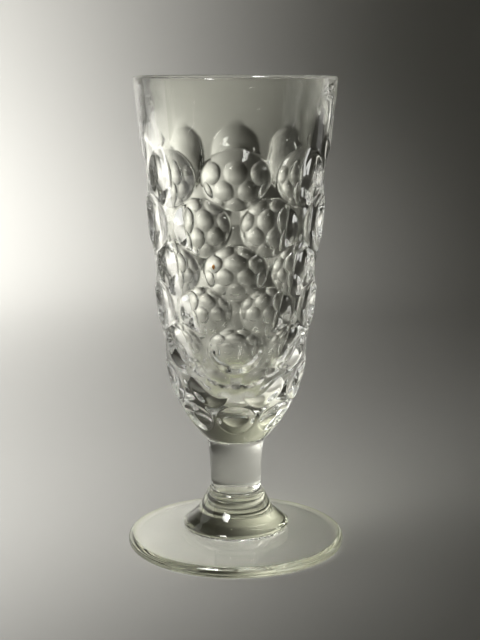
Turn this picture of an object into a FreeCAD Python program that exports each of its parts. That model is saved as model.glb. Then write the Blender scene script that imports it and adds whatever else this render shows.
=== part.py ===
import FreeCAD, Part
import math
import os

# Pressed-glass footed tumbler: a tall tapering bowl whose thick wall is covered
# in seven staggered rows of round dished facets, a short solid stem, a flared
# collar and a round foot with a slightly hollow underside.
# Units are millimetres. The origin is the middle of the ring the foot stands
# on and +Z runs up the axis of the glass. -Y is the front.

# --- overall sizes ---
TOTAL_HEIGHT = 160.5
# The rounded top of the rim starts at this height on both sides.
RIM_EDGE = 159.8

# --- foot: disc that rises gently to a flat seat under the collar ---
FOOT_RADIUS = 37.5
FOOT_EDGE_TOP_RADIUS = 36.3
FOOT_EDGE_TOP = 3.9
FOOT_EDGE_ROUND = 1.9
FOOT_BASE_RADIUS = 35.9
STANDING_RING_RADIUS = 34.0
UNDERSIDE_RISE = 2.6
SEAT_RADIUS = 17.4
SEAT_HEIGHT = 6.6

# --- collar: flares from the stem down to a rounded lip ---
LIP_RADIUS = 18.4
LIP_HEIGHT = 7.2
COLLAR_TOP = 19.4
FLARE = [(17.9, 8.0), (16.6, 9.1), (15.0, 10.4), (13.1, 12.4), (11.1, 16.0), (9.7, COLLAR_TOP)]

# --- stem: solid, slightly waisted, with a small crease at both ends ---
STEM_TOP = 38.0
STEM_LOW_CREASE_RADIUS = 8.2
STEM_HIGH_CREASE_RADIUS = 9.5
STEM_SIDE = [(8.6, 20.8), (8.75, 23.5), (8.9, 28.0), (9.2, 33.0), (9.75, 36.6)]

# --- bowl, as (radius, height) from bottom to top ---
# Outside over the ridges between the facets.
OUTSIDE = [(10.3, STEM_TOP), (12.0, 39.6), (15.0, 43.2), (18.0, 47.8), (20.6, 53.0),
           (23.0, 60.0), (24.1, 66.0), (25.2, 73.0), (26.9, 86.0), (28.1, 99.0),
           (29.5, 114.0), (30.7, 128.0), (31.6, 138.0), (33.0, 152.0), (33.8, RIM_EDGE)]
# Hollow: narrow and round at the bottom, nearly straight up the middle, and
# opening out to a thin rim.
CAVITY_BOTTOM = 53.0
INSIDE = [(7.5, 56.0), (10.5, 59.3), (14.0, 64.0), (16.8, 70.0), (19.3, 79.0), (21.8, 98.0),
          (23.3, 115.0), (24.4, 128.0), (25.6, 138.0), (27.0, 144.0), (28.5, 149.5),
          (30.1, 154.0), (32.2, RIM_EDGE)]

# --- dished facets: (centre height, half height, half width in degrees) ---
ROWS = [(129.0, 9.5, 20.0),
        (113.6, 9.3, 19.2),
        (99.3, 8.8, 20.5),
        (86.4, 8.0, 19.2),
        (73.3, 7.6, 20.5),
        (60.2, 6.8, 19.2),
        (47.7, 4.6, 20.5)]
FACETS_PER_ROW = 8
FRONT = -90.0
TOOL_LENGTH_MARGIN = 1.3
CURVE_SAMPLES = 400
# The closing line of the turned wall lies off every facet's middle.
SEAM_TURN = 11.25


def point(radius, height):
    return FreeCAD.Vector(radius, 0.0, height)


def line(start, end):
    return Part.LineSegment(start, end).toShape()


def arc(start, middle, end):
    return Part.Arc(start, middle, end).toShape()


def smooth_curve(pairs):
    curve = Part.BSplineCurve()
    curve.interpolate([point(radius, height) for radius, height in pairs])
    return curve


def spin(edges):
    """Turn a closed outline in the XZ plane into a solid of revolution."""
    face = Part.Face(Part.Wire(edges))
    axis = FreeCAD.Vector(0.0, 0.0, 1.0)
    return face.revolve(FreeCAD.Vector(0.0, 0.0, 0.0), axis, 360.0)


def sample(curve):
    """Points along a curve from bottom to top."""
    first, last = curve.FirstParameter, curve.LastParameter
    step = (last - first) / CURVE_SAMPLES
    return [curve.value(first + step * count) for count in range(CURVE_SAMPLES + 1)]


OUTSIDE_CURVE = smooth_curve(OUTSIDE)
OUTSIDE_SAMPLES = sample(OUTSIDE_CURVE)


def wall_at(height):
    """Radius and lean of the outside at a height, over the ridges."""
    for low, high in zip(OUTSIDE_SAMPLES, OUTSIDE_SAMPLES[1:]):
        if low.z <= height <= high.z:
            share = (height - low.z) / (high.z - low.z)
            radius = low.x + share * (high.x - low.x)
            lean = math.atan2(high.x - low.x, high.z - low.z)
            return radius, lean
    raise ValueError("height is outside the bowl")


def circle_through(first, second, third):
    """Centre and radius of the circle through three points in the XZ plane."""
    circle = Part.Arc(first, second, third).toShape().Curve
    return circle.Center, circle.Radius


def make_facet_tool(height, half_height, half_width, azimuth):
    """Level cylinder that leaves a dish, flat across the wall and hollow up it."""
    radius, lean = wall_at(height)
    half_angle = math.radians(half_width)
    depth = radius * (1.0 - math.cos(half_angle)) * math.cos(lean)
    low_edge = point(wall_at(height - half_height)[0], height - half_height)
    high_edge = point(wall_at(height + half_height)[0], height + half_height)
    deepest = point(radius - depth * math.cos(lean), height + depth * math.sin(lean))
    centre, tool_radius = circle_through(low_edge, deepest, high_edge)
    length = 2.0 * radius * math.sin(half_angle) * TOOL_LENGTH_MARGIN
    tool = Part.makeCylinder(tool_radius, length)
    tool.translate(FreeCAD.Vector(0.0, 0.0, -length / 2.0))
    # Lay the cylinder level; its closing line faces away from the glass.
    tool.rotate(FreeCAD.Vector(0.0, 0.0, 0.0), FreeCAD.Vector(1.0, 0.0, 0.0), 90.0)
    tool.translate(centre)
    tool.rotate(FreeCAD.Vector(0.0, 0.0, 0.0), FreeCAD.Vector(0.0, 0.0, 1.0), azimuth)
    return tool


def cut_facets(body):
    """Cut every facet; each row is turned half a facet from the one above it."""
    spacing = 360.0 / FACETS_PER_ROW
    for index, (height, half_height, half_width) in enumerate(ROWS):
        shift = spacing / 2.0 if index % 2 else 0.0
        for step in range(FACETS_PER_ROW):
            azimuth = FRONT + shift + spacing * step
            # One at a time: cutting them all in one step can lose a facet.
            body = body.cut(make_facet_tool(height, half_height, half_width, azimuth))
    return body


def make_cavity():
    """The hollow of the bowl, taller than the bowl so that it opens the top."""
    low_radius, low_height = INSIDE[0]
    rise = low_height - CAVITY_BOTTOM
    bottom_radius = (low_radius ** 2 + rise ** 2) / (2.0 * rise)
    middle_radius = low_radius / 2.0
    middle_height = CAVITY_BOTTOM + bottom_radius - math.sqrt(bottom_radius ** 2 - middle_radius ** 2)
    rim_inside = INSIDE[-1][0]
    above = TOTAL_HEIGHT + 5.0
    edges = [arc(point(0.0, CAVITY_BOTTOM), point(middle_radius, middle_height), point(low_radius, low_height)),
             smooth_curve(INSIDE).toShape(),
             line(point(rim_inside, RIM_EDGE), point(rim_inside, above)),
             line(point(rim_inside, above), point(0.0, above)),
             line(point(0.0, above), point(0.0, CAVITY_BOTTOM))]
    return spin(edges)


def make_bowl():
    bottom_radius = OUTSIDE[0][0]
    rim_outside = OUTSIDE[-1][0]
    rim_inside = INSIDE[-1][0]
    rim_middle = (rim_outside + rim_inside) / 2.0
    edges = [line(point(0.0, STEM_TOP), point(bottom_radius, STEM_TOP)),
             OUTSIDE_CURVE.toShape(),
             arc(point(rim_outside, RIM_EDGE), point(rim_middle, TOTAL_HEIGHT), point(rim_inside, RIM_EDGE)),
             line(point(rim_inside, RIM_EDGE), point(0.0, RIM_EDGE)),
             line(point(0.0, RIM_EDGE), point(0.0, STEM_TOP))]
    body = spin(edges)
    body.rotate(FreeCAD.Vector(0.0, 0.0, 0.0), FreeCAD.Vector(0.0, 0.0, 1.0), SEAM_TURN)
    return cut_facets(body).cut(make_cavity())


def make_stem():
    low_crease = point(STEM_LOW_CREASE_RADIUS, COLLAR_TOP)
    high_crease = point(STEM_HIGH_CREASE_RADIUS, STEM_TOP)
    edges = [line(point(0.0, COLLAR_TOP), low_crease),
             line(low_crease, point(*STEM_SIDE[0])),
             smooth_curve(STEM_SIDE).toShape(),
             line(point(*STEM_SIDE[-1]), high_crease),
             line(high_crease, point(0.0, STEM_TOP)),
             line(point(0.0, STEM_TOP), point(0.0, COLLAR_TOP))]
    return spin(edges)


def make_collar():
    lip_top = point(*FLARE[0])
    collar_top = point(*FLARE[-1])
    edges = [line(point(0.0, SEAT_HEIGHT), point(SEAT_RADIUS, SEAT_HEIGHT)),
             arc(point(SEAT_RADIUS, SEAT_HEIGHT), point(LIP_RADIUS, LIP_HEIGHT), lip_top),
             smooth_curve(FLARE).toShape(),
             line(collar_top, point(0.0, COLLAR_TOP)),
             line(point(0.0, COLLAR_TOP), point(0.0, SEAT_HEIGHT))]
    return spin(edges)


def make_foot():
    middle_radius = STANDING_RING_RADIUS / 2.0
    middle_rise = UNDERSIDE_RISE * 0.75
    ring_inside = point(STANDING_RING_RADIUS, 0.0)
    ring_outside = point(FOOT_BASE_RADIUS, 0.0)
    edge_top = point(FOOT_EDGE_TOP_RADIUS, FOOT_EDGE_TOP)
    seat_edge = point(SEAT_RADIUS, SEAT_HEIGHT)
    edges = [arc(point(0.0, UNDERSIDE_RISE), point(middle_radius, middle_rise), ring_inside),
             line(ring_inside, ring_outside),
             arc(ring_outside, point(FOOT_RADIUS, FOOT_EDGE_ROUND), edge_top),
             line(edge_top, seat_edge),
             line(seat_edge, point(0.0, SEAT_HEIGHT)),
             line(point(0.0, SEAT_HEIGHT), point(0.0, UNDERSIDE_RISE))]
    return spin(edges)


os.makedirs("parts", exist_ok=True)
NODES = {"bowl": make_bowl, "stem": make_stem, "collar": make_collar, "foot": make_foot}
for name, maker in NODES.items():
    shape = maker()
    if shape.ShapeType != "Solid" and len(shape.Solids) == 1:
        shape = shape.Solids[0]
    print(name, "solids:", len(shape.Solids), "valid:", shape.isValid(), "volume:", round(shape.Volume))
    shape.exportStep("parts/" + name + ".step")
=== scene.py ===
import math

import bpy
import numpy as np
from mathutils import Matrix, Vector


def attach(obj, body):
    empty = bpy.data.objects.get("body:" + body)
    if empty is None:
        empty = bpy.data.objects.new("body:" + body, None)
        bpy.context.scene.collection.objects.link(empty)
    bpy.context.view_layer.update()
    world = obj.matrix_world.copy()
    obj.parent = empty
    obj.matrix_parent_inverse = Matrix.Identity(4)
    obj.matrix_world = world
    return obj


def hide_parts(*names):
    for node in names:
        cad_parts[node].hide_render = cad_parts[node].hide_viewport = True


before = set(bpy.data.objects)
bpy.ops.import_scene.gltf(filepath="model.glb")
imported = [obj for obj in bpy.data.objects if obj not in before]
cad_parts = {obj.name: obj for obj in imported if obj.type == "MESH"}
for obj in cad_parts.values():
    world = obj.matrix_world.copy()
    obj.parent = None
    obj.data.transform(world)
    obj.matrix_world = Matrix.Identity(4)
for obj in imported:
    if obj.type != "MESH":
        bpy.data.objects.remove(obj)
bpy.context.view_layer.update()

# Metres, Z up. The glass stands on the origin and -Y is the side the camera sees.
MM = 0.001

# ---------------------------------------------------------------- sizes (mm)
TOTAL_HEIGHT = 160.5
RIM_EDGE = 159.8
JOINT_BOWL = 38.0
JOINT_STEM = 19.4
JOINT_COLLAR = 6.6
GROOVE_RADIUS = 8.9
CREASE_RADIUS = 8.2
SEAT_RADIUS = 17.4

# Outside of the bowl over the ridges, as (radius, height).
BOWL_OUTSIDE = [(10.3, 38.0), (12.0, 39.6), (15.0, 43.2), (18.0, 47.8), (20.6, 53.0),
                (23.0, 60.0), (24.1, 66.0), (25.2, 73.0), (26.9, 86.0), (28.1, 99.0),
                (29.5, 114.0), (30.7, 128.0), (31.6, 138.0), (33.0, 152.0), (33.8, RIM_EDGE)]
# Inside of the bowl, as (radius, height).
BOWL_INSIDE = [(7.5, 56.0), (10.5, 59.3), (14.0, 64.0), (16.8, 70.0), (19.3, 79.0),
               (21.8, 98.0), (23.3, 115.0), (24.4, 128.0), (25.6, 138.0), (27.0, 144.0),
               (28.5, 149.5), (30.1, 154.0), (32.2, RIM_EDGE)]
CAVITY_BOTTOM = 53.0

# Rows of dished facets: (centre height, half height, half width in degrees, depth).
ROWS = [(129.0, 9.5, 20.0, 2.8),
        (113.6, 9.3, 19.2, 2.6),
        (99.3, 8.8, 20.5, 2.7),
        (86.4, 8.0, 19.2, 2.4),
        (73.3, 7.6, 20.5, 2.4),
        (60.2, 6.8, 19.2, 2.0),
        (48.1, 5.1, 20.5, 1.8)]
# Share of each facet's hollow that is a plain dish; the rest steepens its edge.
DISH_SHARE = 0.75
FACETS_PER_ROW = 8
EDGE_BLEND = 0.05
# Beyond this many half widths from its middle a facet has faded out.
FACET_REACH = 1.6
FACET_FADE = 0.3
# Waviness of the glass surface (mm); the joint, the rim and the bottom stay exact.
OUTER_WAVE = 0.03
INNER_WAVE = 0.06

# The underside of the foot is slightly hollow and stands on a narrow flat ring.
UNDERSIDE_RISE = 2.6
STANDING_RING = 34.0
# The top of the foot starts at its rounded edge and rises to the collar.
FOOT_TOP_RADIUS = 36.0
FOOT_TOP = 3.9
FOOT_TOP_WIDTH = 18.6
FOOT_TOP_RISE = 2.6

# Above this height the wall is plain and needs fewer rows.
FACETS_END = 138.0
COLUMNS = 360
STAGE_COLUMNS = 96
SPECK_COLUMNS = 16


# ---------------------------------------------------------------- curves
def curve_through(points):
    """Smooth one-to-one curve radius(height) through a few points (monotone cubic)."""
    radii = np.array([p[0] for p in points])
    heights = np.array([p[1] for p in points])
    step = np.diff(heights)
    slope = np.diff(radii) / step
    tangent = np.empty(len(points))
    tangent[1:-1] = np.where(slope[1:] * slope[:-1] > 0,
                             2 * slope[1:] * slope[:-1] / (slope[1:] + slope[:-1] + 1e-12), 0.0)
    tangent[0] = slope[0]
    tangent[-1] = slope[-1]

    def radius(height):
        height = np.asarray(height, float)
        k = np.clip(np.searchsorted(heights, height) - 1, 0, len(step) - 1)
        t = (height - heights[k]) / step[k]
        a = radii[k] * (1 + 2 * t) * (1 - t) ** 2 + radii[k + 1] * t ** 2 * (3 - 2 * t)
        return a + step[k] * (tangent[k] * t * (1 - t) ** 2 + tangent[k + 1] * t ** 2 * (t - 1))

    return radius


outside = curve_through(BOWL_OUTSIDE)
inside = curve_through(BOWL_INSIDE)


def facet_depth(angle, height):
    """How far the dished facets go below the ridges, on a grid of angles and heights."""
    depth = np.zeros(np.broadcast(angle, height).shape)
    for row, (centre, half_height, half_width, deepest) in enumerate(ROWS):
        spacing = 2 * math.pi / FACETS_PER_ROW
        shift = 0.0 if row % 2 == 0 else spacing / 2
        around = (angle - shift + spacing / 2) % spacing - spacing / 2
        across = around / math.radians(half_width)
        out = across ** 2 + ((height - centre) / half_height) ** 2
        bowl = deepest * (1 - DISH_SHARE * out - (1 - DISH_SHARE) * out ** 2)
        # Rounded where it runs out into the ridge.
        soft = 0.5 * (bowl + np.sqrt(bowl ** 2 + EDGE_BLEND ** 2))
        fade = np.clip((FACET_REACH - np.sqrt(out)) / FACET_FADE, 0, 1)
        depth = np.maximum(depth, soft * fade)
    return depth


def waviness(angle, height):
    """Gentle uneven flow of pressed glass, about -1 to 1, the same every time."""
    return (0.40 * np.sin(3 * angle + 0.10 * height + 0.4)
            + 0.25 * np.sin(7 * angle - 0.21 * height + 1.7)
            + 0.20 * np.sin(13 * angle + 0.47 * height + 2.9)
            + 0.15 * np.sin(22 * angle - 0.90 * height + 0.9))


# ---------------------------------------------------------------- meshes
def make_grid_mesh(name, radii, heights, close_start, close_end):
    """A closed ring of columns for each row of (radius, height); ends can close to a point."""
    rows, columns = radii.shape
    angle = np.linspace(0, 2 * math.pi, columns, endpoint=False)
    x = radii * np.sin(angle)
    y = -radii * np.cos(angle)
    z = np.broadcast_to(heights, radii.shape)
    verts = np.stack([x, y, z], -1).reshape(-1, 3) * MM
    index = np.arange(rows * columns).reshape(rows, columns)
    nxt = np.roll(index, -1, axis=1)
    quads = np.stack([index[:-1], nxt[:-1], nxt[1:], index[1:]], -1).reshape(-1, 4)
    faces = quads.tolist()
    verts = verts.tolist()
    if close_start is not None:
        verts.append([0, 0, close_start * MM])
        centre = len(verts) - 1
        faces += [[centre, int(b), int(a)] for a, b in zip(index[0], nxt[0])]
    if close_end is not None:
        verts.append([0, 0, close_end * MM])
        centre = len(verts) - 1
        faces += [[centre, int(a), int(b)] for a, b in zip(index[-1], nxt[-1])]
    mesh = bpy.data.meshes.new(name)
    mesh.from_pydata(verts, [], faces)
    mesh.polygons.foreach_set("use_smooth", [True] * len(mesh.polygons))
    mesh.update()
    obj = bpy.data.objects.new(name, mesh)
    bpy.context.scene.collection.objects.link(obj)
    return obj


def build_bowl():
    angle = np.linspace(0, 2 * math.pi, COLUMNS, endpoint=False)[None, :]
    low = np.arange(JOINT_BOWL + 0.35, FACETS_END, 0.5)
    band = np.arange(FACETS_END, 159.0, 1.5)
    side = np.concatenate([low, band, [RIM_EDGE]])[:, None]
    calm = np.clip((side - JOINT_BOWL) / 2.0, 0, 1) * np.clip((RIM_EDGE - side) / 1.0, 0, 1)
    outer = outside(side) - facet_depth(angle, side) + waviness(angle, side) * OUTER_WAVE * calm
    # Rim: flattened round between the two edges.
    turn = np.linspace(0, math.pi, 9)[1:-1][:, None]
    rim_outer, rim_inner = BOWL_OUTSIDE[-1][0], BOWL_INSIDE[-1][0]
    rim_r = (rim_outer + rim_inner) / 2 + (rim_outer - rim_inner) / 2 * np.cos(turn) + 0 * angle
    rim_z = RIM_EDGE + (TOTAL_HEIGHT - RIM_EDGE) * np.sin(turn) + 0 * angle
    low_r, low_z = BOWL_INSIDE[0]
    inner_z = np.concatenate([np.arange(RIM_EDGE, low_z + 1.0, -2.0), [low_z]])[:, None]
    calm = np.clip((RIM_EDGE - inner_z) / 2.0, 0, 1) * np.clip((inner_z - low_z) / 4.0, 0, 1)
    inner_r = inside(inner_z) + waviness(angle, inner_z) * INNER_WAVE * calm
    # Round bottom of the hollow: part of a ball.
    rise = low_z - CAVITY_BOTTOM
    ball = (low_r ** 2 + rise ** 2) / (2 * rise)
    bend = np.linspace(math.asin(low_r / ball), 0, 10)[1:-1][:, None]
    bottom_r = ball * np.sin(bend) + 0 * angle
    bottom_z = CAVITY_BOTTOM + ball * (1 - np.cos(bend)) + 0 * angle
    # Rounded shoulder above the groove at the stem.
    groove_r = np.array([[GROOVE_RADIUS], [9.7], [10.2]]) + 0 * angle
    groove_z = np.array([[JOINT_BOWL], [38.04], [38.15]]) + 0 * angle
    radii = np.concatenate([groove_r, outer, rim_r, inner_r, bottom_r])
    heights = np.concatenate([groove_z, side + 0 * angle, rim_z, inner_z + 0 * angle, bottom_z])
    return make_grid_mesh("bowl_glass", radii, heights, None, CAVITY_BOTTOM)


def build_turned(name, outline, close_start=None):
    """Spin a list of (radius, height) points, given from bottom to top."""
    points = np.array(outline)
    radii = np.repeat(points[:, :1], COLUMNS, axis=1)
    heights = np.repeat(points[:, 1:], COLUMNS, axis=1)
    return make_grid_mesh(name, radii, heights, close_start, None)


def sampled(points, steps):
    radius = curve_through(points)
    z = np.linspace(points[0][1], points[-1][1], steps)
    return [(float(radius(h)), float(h)) for h in z]


bowl = build_bowl()
stem_outline = [(CREASE_RADIUS, JOINT_STEM), (8.35, 19.8), (8.55, 20.4)]
stem_outline += sampled([(8.6, 20.8), (8.75, 23.5), (8.9, 28.0), (9.2, 33.0), (9.75, 36.6)], 50)
stem_outline += [(9.8, 37.0), (9.72, 37.35), (9.45, 37.7), (GROOVE_RADIUS, JOINT_BOWL)]
stem = build_turned("stem_glass", stem_outline)

# Rounded lip, flare, then the crease under the stem.
collar_outline = [(SEAT_RADIUS, JOINT_COLLAR), (17.9, 6.7), (18.25, 6.95), (18.4, 7.3),
                  (18.3, 7.65), (17.9, 8.0)]
collar_outline += sampled([(17.6, 8.25), (16.6, 9.1), (15.0, 10.4), (13.1, 12.4),
                           (11.1, 16.0), (9.85, 18.6)], 40)
collar_outline += [(9.65, 19.0), (9.3, 19.3), (8.8, JOINT_STEM), (CREASE_RADIUS, JOINT_STEM)]
collar = build_turned("collar_glass", collar_outline)

# Hollow underside, rounded edge, then the gentle rise to the seat.
foot_outline = [(r, UNDERSIDE_RISE * (1 - (r / STANDING_RING) ** 2))
                for r in np.linspace(0.6, STANDING_RING, 40)]
foot_outline += [(35.9, 0.05), (36.5, 0.25), (37.05, 0.65), (37.4, 1.25), (37.5, 1.9),
                 (37.4, 2.6), (37.1, 3.2), (36.6, 3.65), (FOOT_TOP_RADIUS, FOOT_TOP)]
foot_outline += [(r, FOOT_TOP + (FOOT_TOP_RADIUS - r) / FOOT_TOP_WIDTH * FOOT_TOP_RISE)
                 for r in np.linspace(35.4, 18.2, 30)]
foot_outline += [(17.7, 6.52), (SEAT_RADIUS, JOINT_COLLAR)]
foot = build_turned("foot_glass", foot_outline, close_start=UNDERSIDE_RISE)


# ---------------------------------------------------------------- materials
def add_node(tree, kind, **settings):
    node = tree.nodes.new(kind)
    for key, value in settings.items():
        setattr(node, key, value)
    return node


def glass_material(name, clear, deep, measure, start, end, base_mix):
    """Clear glass whose faint colour deepens along a height or a radius (mm)."""
    material = bpy.data.materials.new(name)
    material.use_nodes = True
    tree = material.node_tree
    shader = tree.nodes["Principled BSDF"]
    shader.inputs["Roughness"].default_value = 0.0
    shader.inputs["IOR"].default_value = 1.5
    shader.inputs["Transmission Weight"].default_value = 1.0
    place = add_node(tree, "ShaderNodeTexCoord")
    if measure == "radius":
        flat = add_node(tree, "ShaderNodeVectorMath", operation="MULTIPLY")
        flat.inputs[1].default_value = (1.0, 1.0, 0.0)
        tree.links.new(place.outputs["Object"], flat.inputs[0])
        size = add_node(tree, "ShaderNodeVectorMath", operation="LENGTH")
        tree.links.new(flat.outputs[0], size.inputs[0])
        along = size.outputs["Value"]
    else:
        split = add_node(tree, "ShaderNodeSeparateXYZ")
        tree.links.new(place.outputs["Object"], split.inputs[0])
        along = split.outputs["Z"]
    spread = add_node(tree, "ShaderNodeMapRange", interpolation_type="SMOOTHSTEP")
    tree.links.new(along, spread.inputs["Value"])
    spread.inputs["From Min"].default_value = start * MM
    spread.inputs["From Max"].default_value = end * MM
    spread.inputs["To Min"].default_value = base_mix
    spread.inputs["To Max"].default_value = 1.0
    # Uneven colour, as in old glass.
    cloud = add_node(tree, "ShaderNodeTexNoise")
    cloud.inputs["Scale"].default_value = 90.0
    cloud.inputs["Detail"].default_value = 3.0
    tree.links.new(place.outputs["Object"], cloud.inputs["Vector"])
    vary = add_node(tree, "ShaderNodeMapRange")
    tree.links.new(cloud.outputs["Fac"], vary.inputs["Value"])
    vary.inputs["To Min"].default_value = 0.6
    vary.inputs["To Max"].default_value = 1.4
    amount = add_node(tree, "ShaderNodeMath", operation="MULTIPLY", use_clamp=True)
    tree.links.new(spread.outputs["Result"], amount.inputs[0])
    tree.links.new(vary.outputs["Result"], amount.inputs[1])
    mix = add_node(tree, "ShaderNodeMix", data_type="RGBA")
    mix.inputs["A"].default_value = (*clear, 1.0)
    mix.inputs["B"].default_value = (*deep, 1.0)
    tree.links.new(amount.outputs[0], mix.inputs["Factor"])
    tree.links.new(mix.outputs["Result"], shader.inputs["Base Color"])
    return material


CLEAR = (0.91, 0.915, 0.88)
OLIVE = (0.81, 0.83, 0.66)
bowl_glass = glass_material("bowl_glass_clear", CLEAR, OLIVE, "height", 62.0, 42.0, 0.03)
stem_glass = glass_material("stem_glass_clear", CLEAR, OLIVE, "height", 24.0, 8.0, 0.08)
foot_glass = glass_material("foot_glass_clear", CLEAR, OLIVE, "radius", 33.5, 37.5, 0.05)
for piece, node, slot, material in ((bowl, "bowl", "bowl_glass", bowl_glass),
                                    (stem, "stem", "stem_glass", stem_glass),
                                    (collar, "collar", "stem_glass", stem_glass),
                                    (foot, "foot", "foot_glass", foot_glass)):
    piece.data.materials.append(material)
    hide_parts(node)
    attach(piece, "root")


# ---------------------------------------------------------------- specks in the glass
def speck_material(name, colour, darker):
    material = bpy.data.materials.new(name)
    material.use_nodes = True
    tree = material.node_tree
    shader = tree.nodes["Principled BSDF"]
    shader.inputs["Roughness"].default_value = 0.5
    place = add_node(tree, "ShaderNodeTexCoord")
    cloud = add_node(tree, "ShaderNodeTexNoise")
    cloud.inputs["Scale"].default_value = 2500.0
    tree.links.new(place.outputs["Object"], cloud.inputs["Vector"])
    mix = add_node(tree, "ShaderNodeMix", data_type="RGBA")
    mix.inputs["A"].default_value = (*colour, 1.0)
    mix.inputs["B"].default_value = (*darker, 1.0)
    tree.links.new(cloud.outputs["Fac"], mix.inputs["Factor"])
    tree.links.new(mix.outputs["Result"], shader.inputs["Base Color"])
    return material


def add_speck(name, angle_deg, height, wide, tall, material):
    """Small smooth grain set into the outer surface of the bowl; 0 degrees is the front."""
    angle = math.radians(angle_deg)
    dip = facet_depth(np.array([[angle]]), np.array([[height]]))[0, 0]
    radius = float(outside(height)) - float(dip)
    turn = np.linspace(0.0, math.pi, 9)[1:-1]
    radii = np.repeat((wide / 2 * np.sin(turn))[:, None], SPECK_COLUMNS, axis=1)
    heights = np.repeat((-tall / 2 * np.cos(turn))[:, None], SPECK_COLUMNS, axis=1)
    piece = make_grid_mesh(name, radii, heights, -tall / 2, tall / 2)
    piece.location = (radius * math.sin(angle) * MM, -radius * math.cos(angle) * MM, height * MM)
    piece.data.materials.append(material)
    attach(piece, "root")


brown = speck_material("speck_brown", (0.62, 0.30, 0.08), (0.22, 0.08, 0.02))
black = speck_material("speck_black", (0.03, 0.03, 0.025), (0.005, 0.005, 0.005))
add_speck("bowl_speck_brown", -15.2, 101.0, 0.9, 1.6, brown)
add_speck("bowl_speck_dark", -17.0, 72.6, 0.8, 1.3, black)


# ---------------------------------------------------------------- stage
def stage_material():
    material = bpy.data.materials.new("stage_paper")
    material.use_nodes = True
    node = material.node_tree.nodes["Principled BSDF"]
    node.inputs["Base Color"].default_value = (0.285, 0.28, 0.262, 1.0)
    node.inputs["Roughness"].default_value = 0.9
    return material


STAGE_RADIUS = 0.80
COVE = 0.35
WALL_TOP = 1.6
FLOOR_GAP = 0.0002


def build_stage():
    """Round cyclorama: flat floor that curves up into a wall on every side."""
    outline = [(r, 0.0) for r in np.linspace(0.002, STAGE_RADIUS - COVE, 20)]
    outline += [(STAGE_RADIUS - COVE + COVE * math.sin(a), COVE - COVE * math.cos(a))
                for a in np.linspace(0, math.pi / 2, 16)[1:]]
    outline += [(STAGE_RADIUS, z) for z in np.linspace(COVE + 0.05, WALL_TOP, 12)]
    points = np.array(outline) / MM
    radii = np.repeat(points[:, :1], STAGE_COLUMNS, axis=1)
    heights = np.repeat(points[:, 1:], STAGE_COLUMNS, axis=1)
    obj = make_grid_mesh("studio_floor", radii, heights, 0.0, None)
    obj.data.flip_normals()
    obj.data.materials.append(stage_material())
    obj.location.z = -FLOOR_GAP


build_stage()


def area_light(name, place, target, width, height, watts, spread, shadow=True):
    light = bpy.data.lights.new(name, "AREA")
    light.spread = math.radians(spread)
    light.shape = "RECTANGLE"
    light.size = width
    light.size_y = height
    light.energy = watts
    light.use_shadow = shadow
    obj = bpy.data.objects.new(name, light)
    obj.location = place
    obj.rotation_euler = (Vector(target) - Vector(place)).to_track_quat("-Z", "Y").to_euler()
    obj.visible_camera = False
    bpy.context.scene.collection.objects.link(obj)
    return obj


area_light("window", (-0.35, -0.05, 0.30), (-0.30, 0.60, 0.35), 0.25, 0.25, 1.05, 50.0)
area_light("front", (-0.25, -0.25, 0.40), (-0.25, 0.10, 0.0), 0.25, 0.25, 1.65, 70.0, shadow=False)
area_light("high", (-0.45, 0.10, 0.60), (-0.35, 0.45, 0.0), 0.25, 0.25, 1.65, 60.0)
area_light("side", (-0.45, 0.25, 0.50), (-0.30, 0.60, 0.10), 0.25, 0.25, 0.85, 60.0)
area_light("behind", (-0.10, -0.15, 0.55), (0.10, -0.75, 0.15), 0.25, 0.25, 0.22, 70.0)
area_light("left_panel", (-0.45, 0.10, 0.20), (0.0, 0.0, 0.09), 0.35, 0.45, 0.38, 180.0)
area_light("right_panel", (0.50, 0.25, 0.15), (0.0, 0.0, 0.09), 0.12, 0.40, 0.09, 180.0)
world = bpy.data.worlds.new("studio")
world.use_nodes = True
sky = world.node_tree.nodes["Background"]
sky.inputs["Color"].default_value = (0.95, 0.95, 0.80, 1)
sky.inputs["Strength"].default_value = 0.15
bpy.context.scene.world = world

# ---------------------------------------------------------------- camera
DISTANCE = 0.44816
EYE_HEIGHT = 0.16640
PITCH_DOWN = 0.1932
TURN_RIGHT = 0.0032
LENS = 75.44
BOUNCES = 24
camera_data = bpy.data.cameras.new("camera")
camera_data.lens = LENS
camera_data.sensor_width = 36.0
camera = bpy.data.objects.new("camera", camera_data)
camera.location = (0.0, -DISTANCE, EYE_HEIGHT)
camera.rotation_euler = (math.pi / 2 - PITCH_DOWN, 0.0, -TURN_RIGHT)
bpy.context.scene.collection.objects.link(camera)
bpy.context.scene.camera = camera

scene = bpy.context.scene
scene.view_settings.view_transform = "Standard"
scene.view_settings.look = "Medium High Contrast"
# Reflections inside the glass count as glossy bounces.
scene.cycles.max_bounces = BOUNCES
scene.cycles.transmission_bounces = BOUNCES
scene.cycles.glossy_bounces = BOUNCES
scene.cycles.transparent_max_bounces = BOUNCES
